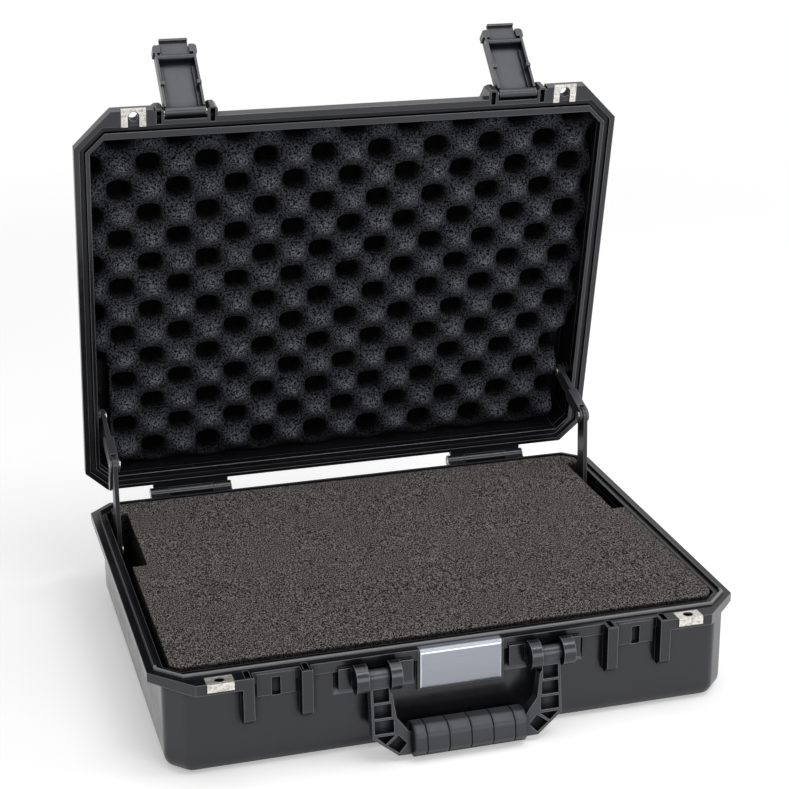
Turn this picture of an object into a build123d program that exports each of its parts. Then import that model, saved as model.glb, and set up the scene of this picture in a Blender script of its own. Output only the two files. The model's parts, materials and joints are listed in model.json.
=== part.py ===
from build123d import *
import os

# Hard case for a laptop: base and hinged lid, two over-centre latches, folding handle,
# two folding lid stays, foam inserts.  Millimetres, +Z up, X to the right, -Y is the front.
# The origin is on the floor under the centre of the rim.  Lid parts are drawn with the lid
# shut and turned open at the end.

# --- rim and walls -------------------------------------------------------------------
rim_z = 84.0                 # height of the base's rim plane above the floor
rim_gap = 0.3                # gap between the two rims when shut
rim_half_width = 250.0
rim_front = 183.0            # front face of the flange, as a distance in front of the origin
rim_rear = 193.2
block_proud = 9.0            # padlock blocks and lugs stand this far out of the flange
front_chamfer = 32.8
rear_chamfer = 20.5
flange_thickness = 7.2
flange_front_thickness = 9.5
flange_taper = 30.0          # the flange thins over this distance behind its front face
wall_overhang = 10.0         # how far the flange stands out past the side and rear walls
front_overhang = 1.5         # and past the front wall
corner_overhang = 3.0        # and past the walls at the cut corners
corner_radius = 10.0
wall_thickness = 4.0
floor_thickness = 4.0
bottom_radius = 12.0
top_radius = 6.0
rim_band_side = 13.7         # width of the rim's top face at the sides
rim_band_front = 17.1
rim_band_rear = 14.5
lid_height = 46.0            # rim plane to the top of the lid
lid_lean = 18.0              # how far the lid's front wall leans back up to the top
lid_corner_lean = 13.0       # and its front corners
running_clearance = 0.05     # radial clearance of every pin in its bore
side_clearance = 0.3         # clearance between faces of parts that move past each other

# --- seal ----------------------------------------------------------------------------
tongue_inset_side = 7.6      # rim edge to the tongue's centre line
tongue_inset_front = 8.5
tongue_inset_rear = 6.3
tongue_width = 2.5
tongue_height = 2.2
tongue_round = 0.8
groove_width = 5.0
gasket_thickness = 2.0
gasket_slit = 0.8            # left open beside the gasket's inner edge
gasket_gap = 0.3             # gasket to the tongue

# --- padlock plates ------------------------------------------------------------------
plate_inset = 41.5           # rim's side to the plate's outer edge
plate_width = 21.5
plate_thickness = 1.2
plate_depth = 11.5           # base plate's reach over the rim's top face
plate_leg = 7.0
lid_plate_depth = 15.5
lid_plate_leg = 2.5
lid_plate_slot = 5.0         # half width of the lid plate's slot round its hole
plate_play = 0.1
padlock_radius = 4.2
padlock_wall_gap = 0.3       # between the hole and the wall behind it

# --- latches -------------------------------------------------------------------------
latch_inset = 97.7           # rim's side to the middle of a latch
latch_half_width = 18.0
latch_rail_thickness = 2.0
latch_pin_gap = 4.0          # pin axis in front of the flange's face
latch_pin_rel = 4.0          # pin axis above the base's rim
latch_barrel_radius = 4.0
latch_pin_radius = 1.5
latch_pin_short = 0.1        # pin's end to the lug's slot
latch_front = 7.0            # outer face, in front of the pin
latch_skin = 2.3
latch_skin_short = 8.4       # skin's and ledges' ends, short of the rails' ends
latch_ledge_width = 3.0      # stepped ledges along the insides of the rails
latch_ledge_height = 2.5
latch_ledge_short = 20.4
latch_rail_length = 68.4
latch_rail_depth = 3.0       # rail edge behind the pin
latch_flare = 1.5            # rail ends stand out sideways by this much
latch_flare_length = 8.0
latch_tip_round = 3.0        # rounding of the rails' ends
latch_open_angle = 146.0
tab_half_width = 12.5
tab_reach = 6.4              # tab's reach past the rails' ends
tab_pivot_inset = 12.0       # its pivot, short of the rails' ends
tab_barrel_radius = 2.6
tab_pin_radius = 1.2
tab_thickness = 2.1
tab_back = 0.6               # tab's inner face, behind the pin's axis
tab_lip = 2.2                # thickness of the lip along the tab's end
tab_side_gap = 0.5           # tab to the rails' ends beside it
claw_reach = 1.7
claw_height = 3.3
rib_gap = 1.0                # between the latch's side and the ribs and ears beside it
rib_width = 9.0
rib_length = 42.0
rib_chamfer = 5.0            # at the front of each lug's foot
rib_slot = 4.4
rib_slot_depth = 12.0
rib_slot_shallow = 4.5       # depth of the slot where it runs on into the flange
rib_slot_wall = 2.0
rib_slot_reach = 14.0        # slot's inner end, behind the lug's face
ear_height = 30.0
ear_straight = 15.0          # ears run straight this far above the base's rim
ear_chamfer = 2.5
ear_root = 10.0              # ears reach this far behind the front wall's face
catch_side_gap = 0.5         # between the catch panel and the latch's rails
catch_proud = 0.4            # catch panel stands out of the flange's face
catch_top = 2.0
catch_bottom = 21.5
catch_notch = 7.0
catch_notch_top = 6.0
catch_notch_floor = 1.2      # wall left behind the notch

# --- nameplate -----------------------------------------------------------------------
label_half_width = 34.5
label_height = 34.0
label_fold = 6.7             # reach of the fold over the rim's top face
label_thickness = 1.0
label_box_margin = 2.0
label_box_proud = 0.9        # box stands out of the flange's face

# --- handle --------------------------------------------------------------------------
handle_gap = 10.1            # pivot axis in front of the flange's face
handle_rel = 13.2
handle_lean = 8.0            # how far it hangs out from vertical, degrees
disc_radius = 11.75
disc_web_top = 6.25          # web behind each disc, above and below the axis
disc_web_bottom = 8.75
disc_outer = (81.6, 91.8)
disc_inner = (54.2, 63.5)
disc_recess = (8.0, 1.5)     # radius and depth of the recess in each disc's far face
bracket_outer_x = 102.4
bracket_inner_x = 40.7
bracket_proud = 4.5          # blocks beside the discs stand out of the wall
bracket_bottom = 25.0
arm_barrel_radius = 6.5
arm_outer_x = 80.0
arm_depth = 5.0              # half the arm's depth
arm_rim = 2.0                # width of the arm's border and ribs
arm_web = 3.0                # web left behind the pockets
arm_shoulder = 3.0           # top corners of the arm, below the pivot
arm_bend = 50.0              # outer bend, below the pivot
arm_inner_top = 64.2
arm_neck = (62.3, 15.0)
arm_inner_bend = (59.4, 35.0)
arm_inner_end = (49.0, 48.5)
arm_outer_end = (59.0, 67.0)
arm_pocket_first = 9.0       # the straight part's pockets, from the pivot down
arm_pocket_pitch = 13.2
arm_pocket_height = 11.2
arm_pocket_taper = 1.4
arm_bend_pockets = (
    ((60.9, 48.8), (77.4, 48.8), (69.6, 55.9)),
    ((58.4, 49.8), (68.2, 57.2), (58.6, 64.6), (51.8, 57.4)),
)
core_bottom = 66.0
core_top = 48.0
core_half_depth = 4.5
handle_pin_radius = 3.0
handle_pin_sunk = 3.0        # plastic left over the pin's end in each disc
grip_half_width = 47.0
grip_joints = (37.0, 18.5, 0.0)
grip_joint_width = 1.0
grip_joint_depth = 1.0
grip_top = 42.5
grip_bottom = 69.5
grip_half_depth = 13.5
grip_corner = 7.0
grip_round = 5.0
scoop_x = (38.0, 106.0)
scoop_depth = 2.0
scoop_bottom = 32.0
scoop_fade = 8.0

# --- rear hinges ---------------------------------------------------------------------
hinge_gap = 10.0             # pin axis behind the rim
knuckle_radius = 5.5
knuckle_insets = (139.5, 122.0, 79.0, 61.0)   # knuckle ends from the rim's side
hinge_pin_radius = 2.0
open_angle = 78.5
web_thickness = 5.0
lid_leaf_inset = 3.0         # the lid's leaf ends this far inside the hinge's ends

# --- lid stays -----------------------------------------------------------------------
stay_rim_gap = 6.6                    # link's middle to the rim's inner edge
stay_base_pivot = (-67.5, -23.9)      # from the hinge axis, along Y and Z
stay_lid_pivot = (-80.55, 20.37)      # from the hinge axis with the lid shut
stay_lower_thickness = 4.0
stay_lower_depth = 16.0
stay_cheek = 2.0
stay_upper_depth = 13.0
stay_upper_thickness = 4.0
stay_tail = (10.7, -25.2)             # from the elbow, to the end of the locking tail
stay_tail_width = 8.0
stay_pin_radius = 2.2
stay_pin_end_gap = 0.5                # left beyond the wall pins, in their bores
stay_head_radius = 4.0
stay_head_height = 1.2
stay_boss_radius = 9.0
stay_fork_length = 31.0
stay_fork_wall = 3.0
stay_elbow_relief = 2.0      # clearing round the lower link's end in the fork
open_pivot_clearance = 0.1

# --- foams ---------------------------------------------------------------------------
foam_side_gap = 3.3          # base foam to the rim's inner edge
foam_front_gap = 2.9
foam_rear_gap = 3.2
foam_top_rel = 1.0
pad_thickness = 12.0
foam_gap = 0.3
notch_clearance = 4.4        # foam notch to the stay's inner face
notch_hinge_gap = 49.2       # notch's rear end to the hinge axis
notch_length = 109.6
lid_foam_clearance = 3.4     # lid foam to the stay's inner face
lid_foam_gap = 3.0           # lid foam to the inside of the side walls
lid_foam_notch = 54.0        # front end of the lid foam's stay notches, in front of the lid pivots
lid_foam_low = 10.0          # tops of the bumps above the rim plane
lid_foam_pitch = (26.6, 24.4)         # pits and bumps alternate at this pitch
lid_foam_first = (1.1, 6.4)           # middle of the first pit, from the foam's front corner
lid_foam_pit = (0.48, 0.2, 18.0)      # half widths at mouth and floor over the pitch, depth

# --- worked out ----------------------------------------------------------------------
ROOT2 = 2 ** 0.5
lid_rim_z = rim_z + rim_gap
lid_top_z = rim_z + lid_height
lid_lean_z = lid_rim_z + flange_thickness - 1
block_front = rim_front + block_proud
wall_front = rim_front - front_overhang
wall_half_width = rim_half_width - wall_overhang
wall_rear = rim_rear - wall_overhang
groove_depth = tongue_height - rim_gap + gasket_gap + gasket_thickness
rim_inner_x = rim_half_width - rim_band_side
rim_inner_front = rim_front - rim_band_front
rim_inner_rear = rim_rear - rim_band_rear
front_diagonal = rim_half_width + block_front - front_chamfer
rear_diagonal = rim_half_width + rim_rear - rear_chamfer
tongue_x = rim_half_width - tongue_inset_side
tongue_front = rim_front - tongue_inset_front
tongue_rear = rim_rear - tongue_inset_rear
plate_x1 = rim_half_width - plate_inset
plate_x0 = plate_x1 - plate_width
padlock_x = (plate_x0 + plate_x1) / 2
padlock_y = wall_front + padlock_radius + padlock_wall_gap
latch_x = rim_half_width - latch_inset
latch_pin_y = rim_front + latch_pin_gap
latch_pin_z = rim_z + latch_pin_rel
latch_skin_length = latch_rail_length - latch_skin_short
latch_ledge_length = latch_rail_length - latch_ledge_short
tab_length = latch_rail_length + tab_reach
tab_pivot = latch_rail_length - tab_pivot_inset
rib_inner = latch_half_width + rib_gap
lug_outer_x = latch_x + rib_inner + rib_width
pin_reach = rib_inner + (rib_width - rib_slot) / 2 - latch_pin_short
catch_half_width = latch_half_width - latch_rail_thickness - catch_side_gap
catch_front = rim_front + catch_proud
label_box_front = rim_front + label_box_proud
label_fold_back = label_box_front - label_fold
handle_y = rim_front + handle_gap
handle_pivot_z = rim_z - handle_rel
bracket_front = wall_front + bracket_proud
hinge_y = rim_rear + hinge_gap
knuckle_x = tuple(rim_half_width - inset for inset in knuckle_insets)
stay_x = rim_inner_x - stay_rim_gap
stay_cheek_gap = stay_lower_thickness / 2 + side_clearance
stay_cheek_out = stay_cheek_gap + stay_cheek
stay_boss_face = stay_x + stay_lower_thickness / 2 + side_clearance
stay_inner_face = stay_x - stay_cheek_out
foam_half_width = rim_inner_x - foam_side_gap
foam_front = rim_inner_front - foam_front_gap
foam_rear = rim_inner_rear - foam_rear_gap
notch_inner_x = stay_inner_face - notch_clearance
notch_rear = hinge_y - notch_hinge_gap
lid_foam_half_width = wall_half_width - wall_thickness - lid_foam_gap
lid_notch_x = stay_inner_face - lid_foam_clearance


# --- helpers -------------------------------------------------------------------------
def outline(half_width, front, rear, inset, front_inset=None):
    """Eight-sided outline whose cut corners lie `inset` inside the rim's."""
    front_inset = inset if front_inset is None else front_inset
    front_cut = half_width + front - (front_diagonal - front_inset * ROOT2)
    rear_cut = half_width + rear - (rear_diagonal - inset * ROOT2)
    right = [
        (half_width - front_cut, -front),
        (half_width, -front + front_cut),
        (half_width, rear - rear_cut),
        (half_width - rear_cut, rear),
    ]
    left = [(-x, y) for x, y in reversed(right)]
    return right + left


def face(points):
    """Polygon wound so that it faces along its plane's normal."""
    pairs = zip(points, points[1:] + points[:1])
    area = sum(a[0] * b[1] - b[0] * a[1] for a, b in pairs)
    ordered = points if area > 0 else points[::-1]
    return Polygon(*ordered, align=None)


def xy_prism(points, z0, z1):
    return extrude(Plane.XY.offset(z0) * face(points), amount=z1 - z0)


def yz_prism(points, x0, x1):
    return extrude(Plane.YZ.offset(x0) * face(points), amount=x1 - x0)


def xz_prism(points, y0, y1):
    return extrude(Plane.XZ.offset(-y1) * face(points), amount=y1 - y0)


def block(x0, x1, y0, y1, z0, z1):
    return Pos((x0 + x1) / 2, (y0 + y1) / 2, (z0 + z1) / 2) * Box(x1 - x0, y1 - y0, z1 - z0)


def x_rod(x0, x1, y, z, radius):
    return Pos((x0 + x1) / 2, y, z) * Rot(0, 90, 0) * Cylinder(radius, abs(x1 - x0))


def z_rod(x, y, z0, z1, radius):
    return Pos(x, y, (z0 + z1) / 2) * Cylinder(radius, z1 - z0)


def other_side(shape):
    return mirror(shape, about=Plane.YZ)


def both_sides(shape):
    return shape + other_side(shape)


def slanted_bar(start, end, width, x0, x1):
    """Round-ended bar in a YZ plane from `start` to `end`."""
    dy, dz = end[0] - start[0], end[1] - start[1]
    length = (dy ** 2 + dz ** 2) ** 0.5
    side = (-dz / length * width / 2, dy / length * width / 2)
    corners = [
        (start[0] + side[0], start[1] + side[1]),
        (end[0] + side[0], end[1] + side[1]),
        (end[0] - side[0], end[1] - side[1]),
        (start[0] - side[0], start[1] - side[1]),
    ]
    bar = yz_prism(corners, x0, x1)
    return bar + x_rod(x0, x1, *start, width / 2) + x_rod(x0, x1, *end, width / 2)


# --- shared shell forms --------------------------------------------------------------
def wall_points(depth, lean=0, corner_lean=0):
    """Outline `depth` inside the walls, its front leaning back."""
    return outline(wall_half_width - depth, wall_front - depth - lean, wall_rear - depth,
                   wall_overhang + depth, corner_overhang + depth + corner_lean)


def base_wall():
    body = xy_prism(wall_points(0), 0, rim_z)
    upright = body.edges().filter_by(Axis.Z).sort_by(Axis.Y)[:4]
    body = fillet(upright, corner_radius)
    return fillet(body.faces().sort_by(Axis.Z)[0].edges(), bottom_radius)


def base_cavity():
    return xy_prism(wall_points(wall_thickness), floor_thickness, rim_z - flange_thickness)


def lid_box(depth, z0, z1):
    """Inside or outside of the lid between two heights; the front leans back."""
    sections = []
    for z in (z0, z1):
        share = (z - lid_lean_z) / (lid_top_z - lid_lean_z)
        points = wall_points(depth, lid_lean * share, lid_corner_lean * share)
        sections.append(Plane.XY.offset(z) * face(points))
    return loft(Sketch() + sections, ruled=True)


def lid_wall():
    body = lid_box(0, lid_lean_z, lid_top_z)
    return fillet(body.faces().sort_by(Axis.Z)[-1].edges(), top_radius)


def rim_opening(z0, z1):
    inset = rim_half_width - rim_inner_x
    return xy_prism(outline(rim_inner_x, rim_inner_front, rim_inner_rear, inset), z0, z1)


def flange(rim_face, direction):
    """Rim flange, thicker along the front; its front is set back between the padlock blocks."""
    back = rim_face + direction * flange_front_thickness
    thin = rim_face + direction * flange_thickness
    z0, z1 = sorted((rim_face, back))
    solid = xy_prism(outline(rim_half_width, block_front, rim_rear, 0), z0, z1)
    solid -= block(-lug_outer_x, lug_outer_x, -block_front - 1, -rim_front, z0, z1)
    away = [(-rim_front, back), (-rim_front + flange_taper, thin), (rim_rear + 1, thin),
            (rim_rear + 1, back + direction), (-rim_front, back + direction)]
    return solid - yz_prism(away, -rim_half_width - 1, rim_half_width + 1)


def seal_ring(inner_half, outer_half, z0, z1):
    """Ring reaching these distances in and out from the tongue's centre line."""
    inset = rim_half_width - tongue_x

    def points(grow):
        return outline(tongue_x + grow, tongue_front + grow, tongue_rear + grow, inset - grow)

    return xy_prism(points(outer_half), z0, z1) - xy_prism(points(-inner_half), z0, z1)


def tongue():
    top = rim_z + tongue_height
    ring = seal_ring(tongue_width / 2, tongue_width / 2, rim_z - 1, top)
    return fillet(ring.faces().sort_by(Axis.Z)[-1].edges(), tongue_round)


def lug_middles():
    reach = rib_inner + rib_width / 2
    return latch_x - reach, latch_x + reach


def lug_slots(rim_face, direction):
    """Coring slots in the rim faces of the two lugs, running on into the flange."""
    front, step, back = (-block_front + rib_slot_wall, -rim_front - 1,
                         -block_front + rib_slot_reach)
    cuts = Part()
    for x in lug_middles():
        x0, x1 = x - rib_slot / 2, x + rib_slot / 2
        for y0, y1, depth in ((front, step, rib_slot_depth), (step, back, rib_slot_shallow)):
            z0, z1 = sorted((rim_face - direction, rim_face + direction * depth))
            cuts += block(x0, x1, y0, y1, z0, z1)
    return cuts


def knuckle(x0, x1, web_z0, web_z1):
    """Hinge knuckle with a web to the rear rim."""
    body = x_rod(x0, x1, hinge_y, rim_z, knuckle_radius)
    body += block(x0, x1, rim_rear - 1, hinge_y, web_z0, web_z1)
    return body


def padlock_plate(rim_face, direction, depth, leg_length):
    """Bent stainless plate on the rim face; direction is -1 below the rim face, +1 above."""
    z0, z1 = sorted((rim_face, rim_face + direction * plate_thickness))
    front = -block_front - plate_thickness
    top = block(plate_x0, plate_x1, front, -block_front + depth, z0, z1)
    z2, z3 = sorted((rim_face, rim_face + direction * leg_length))
    return top + block(plate_x0, plate_x1, front, -block_front, z2, z3)


def plate_pocket(depth, z0, z1):
    return block(plate_x0 - plate_play, plate_x1 + plate_play, -block_front - 1,
                 -block_front + depth + plate_play, z0, z1)


def padlock_hole(radius, z0, z1):
    return z_rod(padlock_x, -padlock_y, z0, z1, radius)


def base_padlock_plate():
    return padlock_plate(rim_z, -1, plate_depth, plate_leg) - padlock_hole(
        padlock_radius, rim_z - plate_thickness - 1, rim_z + 1)


def lid_padlock_plate():
    """Its hole opens into a slot that runs out at the plate's inner edge."""
    z0, z1 = lid_rim_z - 1, lid_rim_z + plate_thickness + 1
    slot = padlock_hole(lid_plate_slot, z0, z1)
    slot += block(padlock_x - lid_plate_slot, padlock_x + lid_plate_slot, -padlock_y,
                  -block_front + lid_plate_depth + 1, z0, z1)
    return padlock_plate(lid_rim_z, 1, lid_plate_depth, lid_plate_leg) - slot


# --- base shell ----------------------------------------------------------------------
def base_ribs():
    """Two lugs under the flange beside the latch on the right-hand side."""
    ribs = Part()
    for x in lug_middles():
        rib = block(x - rib_width / 2, x + rib_width / 2, -block_front, -wall_front + 1,
                    rim_z - rib_length, rim_z)
        toe = rib.edges().filter_by(Axis.X).group_by(Axis.Z)[0].sort_by(Axis.Y)[0]
        ribs += chamfer(toe, rib_chamfer)
    return ribs


def catch_panel():
    return block(latch_x - catch_half_width, latch_x + catch_half_width,
                 -catch_front, -wall_front + 1, rim_z - catch_bottom, rim_z - catch_top)


def catch_panel_notch():
    half = catch_notch / 2
    return block(latch_x - half, latch_x + half, -catch_front - 1,
                 -wall_front + wall_thickness - catch_notch_floor,
                 rim_z - catch_bottom - 1, rim_z - catch_notch_top)


def handle_disc(x0, x1):
    z = handle_pivot_z
    lug = x_rod(x0, x1, -handle_y, z, disc_radius)
    return lug + block(x0, x1, -handle_y, -wall_front + 1, z - disc_web_bottom, z + disc_web_top)


def handle_bracket():
    z_top = rim_z - flange_thickness + 1
    z_low = rim_z - bracket_bottom
    bracket = handle_disc(*disc_outer) + handle_disc(*disc_inner)
    bracket += block(disc_outer[1] - 0.5, bracket_outer_x, -bracket_front, -wall_front + 1, z_low, z_top)
    bracket += block(bracket_inner_x, disc_inner[0] + 0.5, -bracket_front, -wall_front + 1, z_low, z_top)
    return bracket


def disc_recesses():
    radius, depth = disc_recess
    outer = x_rod(disc_outer[1] - depth, disc_outer[1], -handle_y, handle_pivot_z, radius)
    return outer + x_rod(disc_inner[0], disc_inner[0] + depth, -handle_y, handle_pivot_z, radius)


def handle_pin_bore():
    x0 = disc_inner[0] + handle_pin_sunk
    x1 = disc_outer[1] - handle_pin_sunk
    return x_rod(x0, x1, -handle_y, handle_pivot_z, handle_pin_radius + running_clearance)


def scoop():
    """Hollow in the front wall behind the handle's brackets, fading out downwards."""
    z_top, z_low = rim_z - flange_thickness, rim_z - scoop_bottom
    profile = [(-wall_front - 0.5, z_top), (-wall_front + scoop_depth, z_top),
               (-wall_front + scoop_depth, z_low + scoop_fade), (-wall_front - 0.5, z_low)]
    return yz_prism(profile, *scoop_x)


def label_box():
    half = label_half_width + label_box_margin
    return block(-half, half, -label_box_front, -wall_front + 1,
                 rim_z - label_height - label_box_margin, rim_z - 1)


def label_recess():
    half = label_half_width + side_clearance
    front = -label_box_front - 1
    return block(-half, half, front, -label_fold_back + side_clearance,
                 rim_z - label_thickness - 2 * running_clearance, rim_z + 1)


def stay_boss(centre, x0):
    """Boss on the inside of a side wall, with its pin bore."""
    boss = x_rod(x0, wall_half_width - 1, *centre, stay_boss_radius)
    bore_end = wall_half_width - wall_thickness
    return boss - x_rod(x0 - 1, bore_end, *centre, stay_pin_radius + running_clearance)


def hinge_bore():
    return x_rod(knuckle_x[0] - 1, knuckle_x[3] + 1, hinge_y, rim_z,
                 hinge_pin_radius + running_clearance)


def base_shell():
    shell = base_wall() + flange(rim_z, -1)
    shell += both_sides(base_ribs() + catch_panel())
    shell -= both_sides(scoop())
    shell += both_sides(handle_bracket())
    shell += label_box()
    shell -= base_cavity()
    shell -= rim_opening(rim_z - flange_thickness - 1, rim_z + 1)
    shell += tongue()
    for x0, x1 in (knuckle_x[:2], knuckle_x[2:]):
        shell += both_sides(knuckle(x0, x1, rim_z - web_thickness, rim_z - side_clearance))
    shell += both_sides(stay_boss(stay_base_centre, stay_boss_face))
    shell -= both_sides(lug_slots(rim_z, -1) + catch_panel_notch())
    shell -= both_sides(handle_pin_bore() + disc_recesses())
    shell -= label_recess()
    shell -= both_sides(hinge_bore())
    pocket = plate_thickness + running_clearance
    shell -= both_sides(plate_pocket(plate_depth, rim_z - pocket, rim_z + 1))
    return shell - both_sides(padlock_hole(padlock_radius, rim_z - flange_front_thickness - 1,
                                           rim_z + 1))


# --- lid shell (drawn shut) ----------------------------------------------------------
def lid_ears():
    """Two lugs beside the latch that carry its pin, tapered towards the lid's top."""
    z0, z1 = lid_rim_z, rim_z + ear_height
    profile = [(-wall_front + ear_root, z0), (-block_front, z0),
               (-block_front, rim_z + ear_straight), (-wall_front + ear_root, z1)]
    ears = Part()
    for x in lug_middles():
        x0, x1 = x - rib_width / 2, x + rib_width / 2
        ear = yz_prism(profile, x0, x1)
        tips = ear.edges().filter_by(Plane.YZ).group_by(Axis.Y)[0]
        ears += chamfer(tips, ear_chamfer)
    return ears


def lid_leaf():
    """Bar under the lid's rear rim, over the end knuckles."""
    return block(knuckle_x[0] + lid_leaf_inset, knuckle_x[3] - lid_leaf_inset, rim_rear - 1,
                 hinge_y - knuckle_radius - side_clearance, lid_rim_z, rim_z + web_thickness)


def latch_gap():
    """Cut through the flange for the latch's barrel."""
    return block(latch_x - rib_inner, latch_x + rib_inner, -block_front - 1, -wall_front,
                 lid_rim_z - 1, lid_rim_z + flange_front_thickness + 1)


def lid_shell():
    shell = lid_wall() + flange(lid_rim_z, 1) + both_sides(lid_ears() + lid_leaf())
    shell -= lid_box(wall_thickness, lid_rim_z + flange_thickness, lid_top_z - floor_thickness)
    shell -= rim_opening(lid_rim_z - 1, lid_rim_z + flange_thickness + 1)
    half = groove_width / 2
    shell -= seal_ring(half, half, lid_rim_z - 1, lid_rim_z + groove_depth)
    shell -= both_sides(latch_gap())
    shell += both_sides(knuckle(knuckle_x[1] + side_clearance, knuckle_x[2] - side_clearance,
                                rim_z + side_clearance, rim_z + web_thickness))
    shell += both_sides(stay_boss(stay_lid_centre, stay_boss_face))
    shell -= both_sides(lug_slots(lid_rim_z, 1))
    shell -= both_sides(x_rod(latch_x - pin_reach, latch_x + pin_reach,
                              -latch_pin_y, latch_pin_z, latch_pin_radius + running_clearance))
    shell -= both_sides(hinge_bore())
    pocket = plate_thickness + running_clearance
    shell -= both_sides(plate_pocket(lid_plate_depth, lid_rim_z - 1, lid_rim_z + pocket))
    return shell - both_sides(padlock_hole(padlock_radius, lid_rim_z - 1,
                                           lid_rim_z + flange_front_thickness + 1))


def lid_gasket():
    """Lies against the groove's outer side and floor."""
    z1 = lid_rim_z + groove_depth
    half = groove_width / 2
    return seal_ring(half - gasket_slit, half - running_clearance, z1 - gasket_thickness, z1)


# --- latch (drawn shut, right-hand side) -------------------------------------------------
def rail_tip(inner, outer):
    """Wide end of a rail beside the tab, rounded at its outer corner."""
    y, z1 = -latch_pin_y, latch_pin_z - latch_rail_length
    x0, x1 = sorted((inner, outer))
    tip = block(x0, x1, y - latch_front, y + latch_rail_depth, z1, z1 + latch_flare_length)
    ends = tip.edges().filter_by(Axis.Y).group_by(Axis.Z)[0].sort_by(Axis.X)
    corner = ends[-1] if outer > inner else ends[0]
    return fillet(corner, latch_tip_round)


def latch_body():
    y, z = -latch_pin_y, latch_pin_z
    x0, x1 = latch_x - latch_half_width, latch_x + latch_half_width
    body = x_rod(x0 + side_clearance, x1 - side_clearance, y, z, latch_barrel_radius)
    skin_back = y - latch_front + latch_skin
    body += block(x0, x1, y - latch_front, skin_back, z - latch_skin_length, z - 2)
    body += block(x0, x1, y - latch_front, y, z - 5, z - 2)
    for side in (-1, 1):
        inner = latch_x + side * (latch_half_width - latch_rail_thickness)
        outer = latch_x + side * latch_half_width
        flare = outer + side * latch_flare
        claw = inner - side * claw_reach
        ledge = inner - side * latch_ledge_width
        l0, l1 = sorted((ledge, inner))
        body += block(l0, l1, skin_back, skin_back + latch_ledge_height,
                      z - latch_ledge_length, z - 4)
        a0, a1 = sorted((inner, outer))
        body += block(a0, a1, y - latch_front, y + latch_rail_depth,
                      z - latch_rail_length + latch_tip_round, z - 4)
        body += rail_tip(latch_x + side * (tab_half_width + tab_side_gap), flare)
        c0, c1 = sorted((claw, outer))
        top = rim_z - catch_bottom - side_clearance
        body += block(c0, c1, y + 0.5, -wall_front - 0.5, top - claw_height, top)
    body -= x_rod(x0 - 1, x1 + 1, y, z, latch_pin_radius + running_clearance)
    body -= x_rod(x0 - 3, x1 + 3, y + 0.5, z - tab_pivot, tab_pin_radius + running_clearance)
    return body


def latch_pin():
    y, z = -latch_pin_y, latch_pin_z
    return x_rod(latch_x - pin_reach, latch_x + pin_reach, y, z, latch_pin_radius)


def latch_tab():
    y, z = -latch_pin_y, latch_pin_z
    z_pivot = z - tab_pivot
    reach = latch_half_width - latch_rail_thickness - side_clearance
    tab = x_rod(latch_x - reach, latch_x + reach, y + 0.5, z_pivot, tab_barrel_radius)
    x0, x1 = latch_x - tab_half_width, latch_x + tab_half_width
    back = y + tab_back
    tab += block(x0, x1, back - tab_thickness, back, z - tab_length, z_pivot)
    tab += block(x0, x1, back - tab_thickness, y + latch_rail_depth,
                 z - tab_length, z - tab_length + tab_lip)
    return tab - x_rod(x0 - 9, x1 + 9, y + 0.5, z_pivot, tab_pin_radius + running_clearance)


def latch_tab_pin():
    y, z = -latch_pin_y, latch_pin_z
    reach = latch_half_width
    return x_rod(latch_x - reach, latch_x + reach, y + 0.5, z - tab_pivot, tab_pin_radius)


# --- nameplate -----------------------------------------------------------------------
def nameplate():
    front = -label_box_front - label_thickness
    top = rim_z - 0.05
    face = block(-label_half_width, label_half_width, front, -label_box_front, rim_z - label_height, top)
    fold = block(-label_half_width, label_half_width, front, -label_fold_back, top - label_thickness, top)
    return face + fold


# --- handle (drawn hanging straight down) ------------------------------------------------
def handle_z(drop):
    return handle_pivot_z - drop


def arm_points():
    return [
        (arm_inner_top, handle_z(arm_shoulder)),
        (arm_inner_top, handle_z(disc_radius + 1)),
        (arm_neck[0], handle_z(arm_neck[1])),
        (arm_inner_bend[0], handle_z(arm_inner_bend[1])),
        (arm_inner_end[0], handle_z(arm_inner_end[1])),
        (arm_inner_end[0], handle_z(arm_outer_end[1])),
        (arm_outer_end[0], handle_z(arm_outer_end[1])),
        (arm_outer_x, handle_z(arm_bend)),
        (arm_outer_x, handle_z(arm_shoulder)),
    ]


def arm_pockets():
    """Blind pockets in the arm's front: three in the straight part, two in the bend."""
    y0, y1 = -handle_y - arm_depth - 1, -handle_y + arm_depth - arm_web
    pockets = []
    for index in range(3):
        z1 = handle_z(arm_pocket_first + index * arm_pocket_pitch)
        x0 = arm_inner_top + arm_rim - (index + 1) * arm_pocket_taper
        pockets.append(block(x0, arm_outer_x - arm_rim, y0, y1, z1 - arm_pocket_height, z1))
    for corners in arm_bend_pockets:
        pockets.append(xz_prism([(x, handle_z(drop)) for x, drop in corners], y0, y1))
    return Part() + pockets


def handle_arm():
    arm = xz_prism(arm_points(), -handle_y - arm_depth, -handle_y + arm_depth)
    x0, x1 = disc_inner[1] + side_clearance, disc_outer[0] - side_clearance
    arm += x_rod(x0, x1, -handle_y, handle_z(0), arm_barrel_radius)
    arm -= arm_pockets()
    return arm - x_rod(x0 - 1, x1 + 1, -handle_y, handle_z(0), handle_pin_radius + running_clearance)


def handle_core(clearance, half_width):
    return block(-half_width, half_width, -handle_y - core_half_depth - clearance,
                 -handle_y + core_half_depth + clearance,
                 handle_z(core_bottom + clearance), handle_z(core_top - clearance))


def handle_frame():
    return both_sides(handle_arm()) + handle_core(0, arm_inner_end[0] + 1)


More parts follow.
